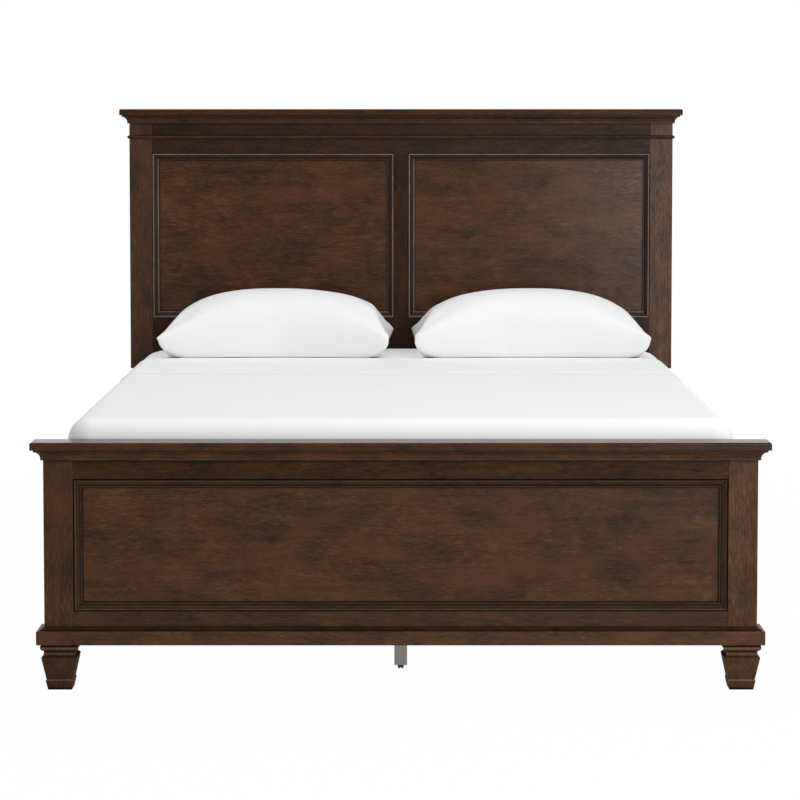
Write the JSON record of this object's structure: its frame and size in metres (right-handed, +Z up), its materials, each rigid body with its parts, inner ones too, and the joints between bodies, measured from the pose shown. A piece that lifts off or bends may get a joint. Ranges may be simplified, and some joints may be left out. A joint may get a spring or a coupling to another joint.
{
  "type": "panel bed",
  "caption": "Queen-size panel bed in dark stained wood with moulded headboard and footboard, slats, centre support legs with levelling glides, mattress, sheet and pillows.",
  "frame": {"origin": "on the floor, under the middle of the bed's outer box", "axes": "+Z up, +Y from the foot to the head, +X to the right seen from the foot"},
  "size_m": [1.664, 2.183, 1.3195],
  "materials": {
    "stained_wood": "satin",
    "plain_wood": "matte",
    "zinc_steel": "satin",
    "grey_steel": "satin",
    "black_steel": "satin",
    "black_nylon": "matte",
    "mattress_cover": "matte",
    "sheet_cotton": "matte",
    "pillow_cotton": "matte"
  },
  "bodies": {
    "bed_frame": {"bracket_screws": "zinc_steel", "foot_bolts": "zinc_steel", "footboard_base_moulding": "stained_wood", "footboard_bottom_rail": "stained_wood", "footboard_cap": "stained_wood", "footboard_cove": "stained_wood", "footboard_left_foot": "stained_wood", "footboard_left_post": "stained_wood", "footboard_panel": "stained_wood", "footboard_panel_moulding": "stained_wood", "footboard_plinth": "stained_wood", "footboard_right_foot": "stained_wood", "footboard_right_post": "stained_wood", "footboard_top_rail": "stained_wood", "headboard_bead": "stained_wood", "headboard_bottom_rail": "stained_wood", "headboard_cap": "stained_wood", "headboard_cove": "stained_wood", "headboard_left_leg": "stained_wood", "headboard_left_panel": "stained_wood", "headboard_left_panel_moulding": "stained_wood", "headboard_left_post": "stained_wood", "headboard_leg_bolts": "zinc_steel", "headboard_mid_stile": "stained_wood", "headboard_right_leg": "stained_wood", "headboard_right_panel": "stained_wood", "headboard_right_panel_moulding": "stained_wood", "headboard_right_post": "stained_wood", "headboard_top_rail": "stained_wood", "left_side_rail": "stained_wood", "left_slat_cleat": "plain_wood", "leg_inserts": "black_nylon", "leg_screws": "zinc_steel", "rail_brackets": "zinc_steel", "right_side_rail": "stained_wood", "right_slat_cleat": "plain_wood", "slat_01": "plain_wood", "slat_02": "plain_wood", "slat_03": "plain_wood", "slat_04": "plain_wood", "slat_05": "plain_wood", "slat_06": "plain_wood", "slat_07": "plain_wood", "slat_08": "plain_wood", "slat_09": "plain_wood", "slat_screws": "zinc_steel", "support_leg_1": "grey_steel", "support_leg_2": "grey_steel", "support_leg_3": "grey_steel"},
    "mattress": {"mattress": "mattress_cover", "sheet": "sheet_cotton"},
    "left_pillow": {"pillow_left": "pillow_cotton"},
    "right_pillow": {"pillow_right": "pillow_cotton"},
    "glide_base_1": {"glide_base_1": "black_nylon"},
    "glide_stud_1": {"glide_stud_1": "black_steel"},
    "glide_base_2": {"glide_base_2": "black_nylon"},
    "glide_stud_2": {"glide_stud_2": "black_steel"},
    "glide_base_3": {"glide_base_3": "black_nylon"},
    "glide_stud_3": {"glide_stud_3": "black_steel"}
  },
  "joints": [
    {"name": "mattress_lift", "type": "slide", "parent": "bed_frame", "child": "mattress", "axis": [0, 0, 1], "range_m": [0, 0.3]},
    {"name": "left_pillow_lift", "type": "slide", "parent": "mattress", "child": "left_pillow", "axis": [0, 0, 1], "range_m": [0, 0.25]},
    {"name": "right_pillow_lift", "type": "slide", "parent": "mattress", "child": "right_pillow", "axis": [0, 0, 1], "range_m": [0, 0.25]},
    {"name": "glide_1_travel", "type": "slide", "parent": "bed_frame", "child": "glide_base_1", "axis": [0, 0, -1], "range_m": [0, 0.01]},
    {"name": "stud_1_turn", "type": "hinge", "parent": "glide_base_1", "child": "glide_stud_1", "pos_m": [0, -0.7995, 0], "axis": [0, 0, -1], "range_deg": [0, 2890]},
    {"name": "glide_2_travel", "type": "slide", "parent": "bed_frame", "child": "glide_base_2", "axis": [0, 0, -1], "range_m": [0, 0.01]},
    {"name": "stud_2_turn", "type": "hinge", "parent": "glide_base_2", "child": "glide_stud_2", "pos_m": [0, 0.0135, 0], "axis": [0, 0, -1], "range_deg": [0, 2890]},
    {"name": "glide_3_travel", "type": "slide", "parent": "bed_frame", "child": "glide_base_3", "axis": [0, 0, -1], "range_m": [0, 0.01]},
    {"name": "stud_3_turn", "type": "hinge", "parent": "glide_base_3", "child": "glide_stud_3", "pos_m": [0, 0.8265, 0], "axis": [0, 0, -1], "range_deg": [0, 2890]}
  ],
  "couplings": [
    {"joint": "stud_1_turn", "follows": "glide_1_travel", "rad_per_m": 5026.5},
    {"joint": "stud_2_turn", "follows": "glide_2_travel", "rad_per_m": 5026.5},
    {"joint": "stud_3_turn", "follows": "glide_3_travel", "rad_per_m": 5026.5}
  ]
}
